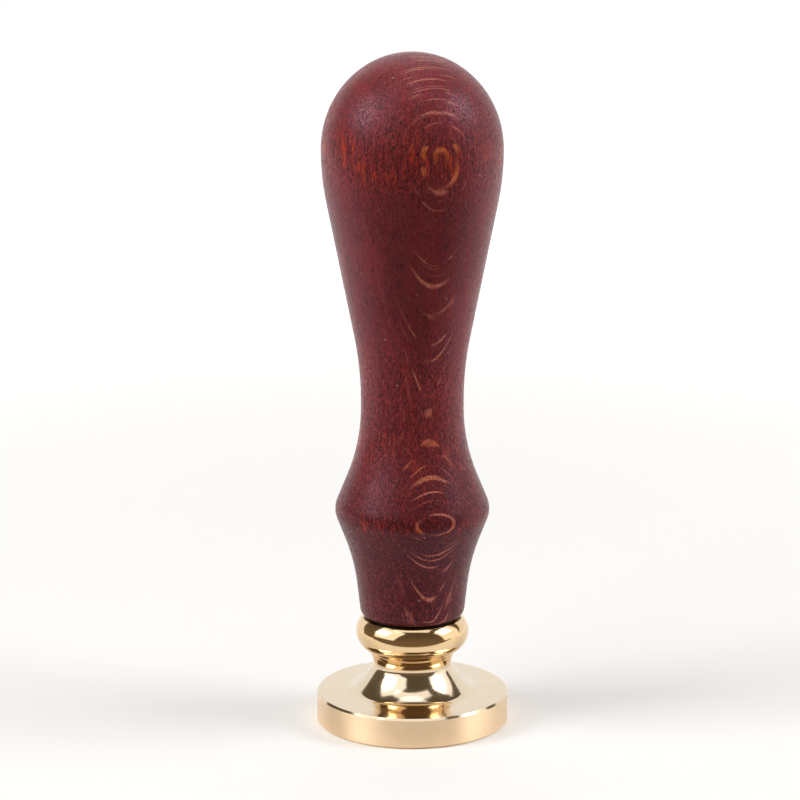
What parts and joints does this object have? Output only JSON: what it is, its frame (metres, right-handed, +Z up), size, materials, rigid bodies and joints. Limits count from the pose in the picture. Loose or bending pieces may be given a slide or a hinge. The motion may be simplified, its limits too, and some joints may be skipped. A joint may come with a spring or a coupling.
{
  "type": "wax seal stamp",
  "caption": "Wax seal stamp: turned wooden handle with a bulb, waist and ridge, screwed onto a turned brass head whose round face is engraved.",
  "frame": {"origin": "centre of the engraved face, which the stamp stands on", "axes": "+Z up the axis of the handle; X and Y lie in the plane of the face"},
  "size_m": [0.026, 0.026, 0.09],
  "materials": {
    "polished_brass": "polished",
    "zinc_steel": "satin",
    "black_fibre": "matte",
    "stained_beech": "satin"
  },
  "bodies": {
    "head": {"stamp_head": "polished_brass"},
    "washer": {"washer": "black_fibre"},
    "handle": {"handle": "stained_beech", "stud": "zinc_steel"}
  },
  "joints": [
    {"name": "handle_lift", "type": "slide", "parent": "head", "child": "washer", "axis": [0, 0, 1], "range_m": [0, 0.009]},
    {"name": "handle_turn", "type": "hinge", "parent": "washer", "child": "handle", "pos_m": [0, 0, 0.0147], "axis": [0, 0, 1], "range_deg": [0, 3240]}
  ],
  "couplings": [
    {"joint": "handle_lift", "follows": "handle_turn", "m_per_rad": 0.00015915}
  ]
}
